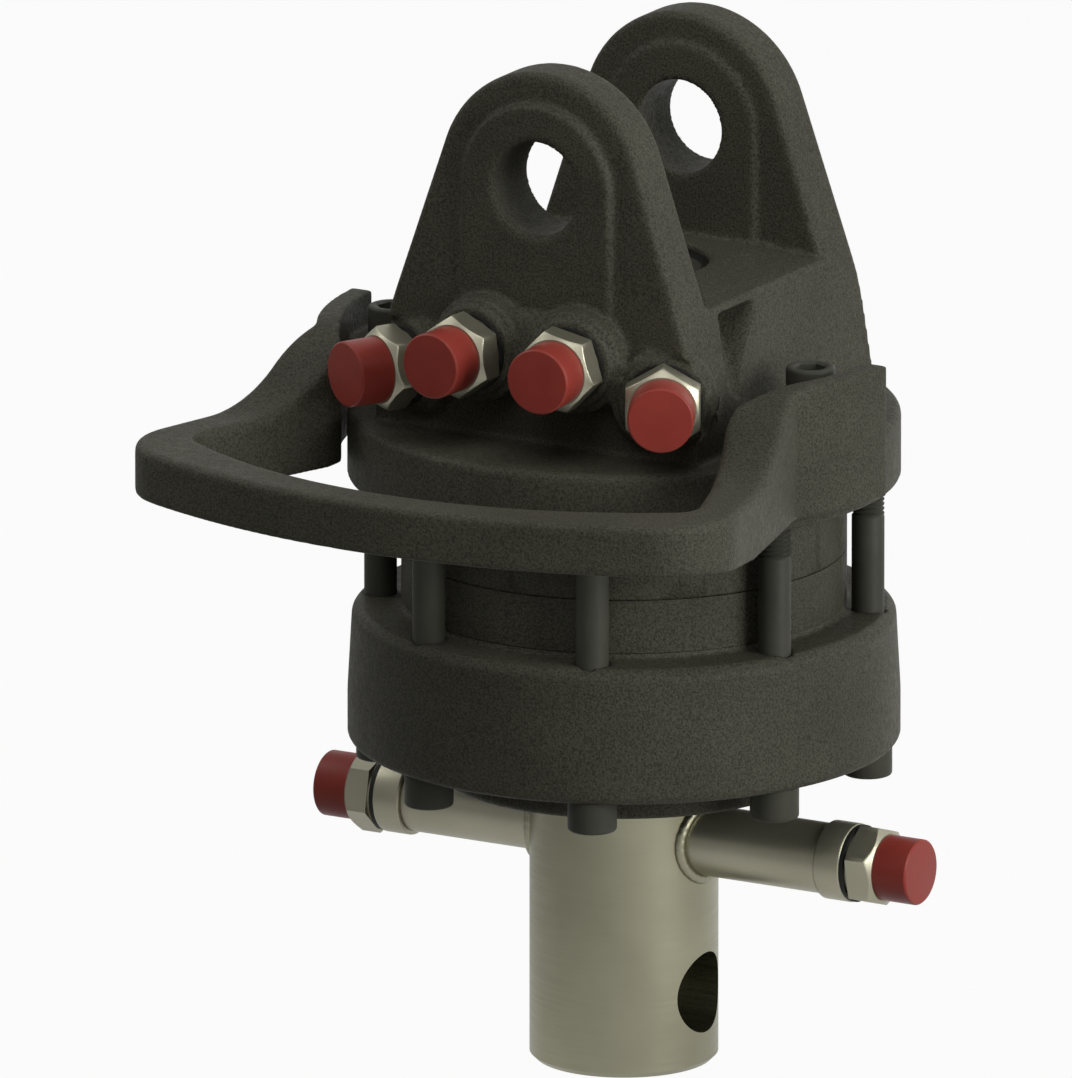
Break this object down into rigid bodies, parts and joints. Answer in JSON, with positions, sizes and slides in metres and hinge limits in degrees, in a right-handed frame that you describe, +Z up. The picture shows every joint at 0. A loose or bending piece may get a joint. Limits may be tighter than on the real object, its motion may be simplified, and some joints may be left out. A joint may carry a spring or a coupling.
{
  "type": "hydraulic rotator",
  "caption": "Hydraulic rotator with a two-eared head, clamped vane motor, hose guard, capped oil ports and a turning shaft with side tubes and a pin hole.",
  "frame": {"origin": "where the link pin's axis meets the axis of rotation", "axes": "+Z up along the axis of rotation, +Y along the link pin and away from the ports, +X along the side tubes to the right as seen from the ports"},
  "size_m": [0.2492, 0.2858, 0.3832],
  "materials": {
    "painted_casting": "thick dark olive-grey enamel over rough sand-cast iron",
    "painted_steel": "dark olive-grey enamel on turned steel",
    "black_screw_steel": "blackened and painted over with the casting",
    "spring_steel": "oiled spring steel",
    "ground_steel": "hardened and ground",
    "bush_bronze": "turned bronze",
    "turned_steel": "fine turned steel, faintly oiled",
    "zinc_plated_steel": "zinc plated, slightly yellow",
    "seal_plastic": "moulded plastic",
    "nitrile_rubber": "moulded nitrile rubber",
    "red_plastic": "soft moulded red plastic"
  },
  "bodies": {
    "housing": {"head_housing": "painted_casting", "head_ear_front": "painted_casting", "head_ear_rear": "painted_casting", "top_cover": "painted_steel", "top_cover_seal": "nitrile_rubber", "snap_ring": "spring_steel", "upper_bush": "bush_bronze", "stator_ring": "painted_casting", "stator_dowels": "ground_steel", "stator_seal_upper": "nitrile_rubber", "stator_seal_lower": "nitrile_rubber", "lower_housing": "painted_casting", "main_bolts": "black_screw_steel", "side_plate": "ground_steel", "bearing_washer_lower": "ground_steel", "lower_bush": "bush_bronze", "shaft_seal": "nitrile_rubber", "wiper_ring": "nitrile_rubber", "guard": "painted_casting", "guard_screws": "black_screw_steel", "port_adapter_1": "zinc_plated_steel", "port_adapter_2": "zinc_plated_steel", "port_adapter_3": "zinc_plated_steel", "port_adapter_4": "zinc_plated_steel", "port_seal_1": "nitrile_rubber", "port_seal_2": "nitrile_rubber", "port_seal_3": "nitrile_rubber", "port_seal_4": "nitrile_rubber"},
    "shaft": {"shaft": "turned_steel", "oilway_plugs": "turned_steel", "swivel_rings": "seal_plastic", "rotor": "ground_steel", "rotor_keys": "ground_steel", "vanes": "ground_steel", "vane_springs": "spring_steel", "bearing_washer_upper": "ground_steel", "tube_left": "zinc_plated_steel", "tube_boss_left": "zinc_plated_steel", "tube_adapter_left": "zinc_plated_steel", "tube_seal_left": "nitrile_rubber", "tube_right": "zinc_plated_steel", "tube_boss_right": "zinc_plated_steel", "tube_adapter_right": "zinc_plated_steel", "tube_seal_right": "nitrile_rubber"},
    "ball_cage": {"bearing_cage": "bush_bronze", "bearing_balls": "ground_steel"},
    "port_cap_1": {"port_cap_1": "red_plastic"},
    "port_cap_2": {"port_cap_2": "red_plastic"},
    "port_cap_3": {"port_cap_3": "red_plastic"},
    "port_cap_4": {"port_cap_4": "red_plastic"},
    "tube_cap_left": {"tube_cap_left": "red_plastic"},
    "tube_cap_right": {"tube_cap_right": "red_plastic"}
  },
  "joints": [
    {"name": "rotation", "type": "hinge", "parent": "housing", "child": "shaft", "pos_m": [0, 0, -0.2], "axis": [0, 0, 1], "continuous": true},
    {"name": "ball_orbit", "type": "hinge", "parent": "housing", "child": "ball_cage", "pos_m": [0, 0, -0.19], "axis": [0, 0, 1], "continuous": true},
    {"name": "port_cap_1_pull", "type": "slide", "parent": "housing", "child": "port_cap_1", "axis": [-0.454, -0.891, 0], "range_m": [0, 0.02]},
    {"name": "port_cap_2_pull", "type": "slide", "parent": "housing", "child": "port_cap_2", "axis": [-0.0872, -0.9962, 0], "range_m": [0, 0.02]},
    {"name": "port_cap_3_pull", "type": "slide", "parent": "housing", "child": "port_cap_3", "axis": [0.0872, -0.9962, 0], "range_m": [0, 0.02]},
    {"name": "port_cap_4_pull", "type": "slide", "parent": "housing", "child": "port_cap_4", "axis": [0.454, -0.891, 0], "range_m": [0, 0.02]},
    {"name": "tube_cap_left_pull", "type": "slide", "parent": "shaft", "child": "tube_cap_left", "axis": [-1, 0, 0], "range_m": [0, 0.02]},
    {"name": "tube_cap_right_pull", "type": "slide", "parent": "shaft", "child": "tube_cap_right", "axis": [1, 0, 0], "range_m": [0, 0.02]}
  ],
  "couplings": [
    {"joint": "ball_orbit", "follows": "rotation", "ratio": 0.5}
  ]
}
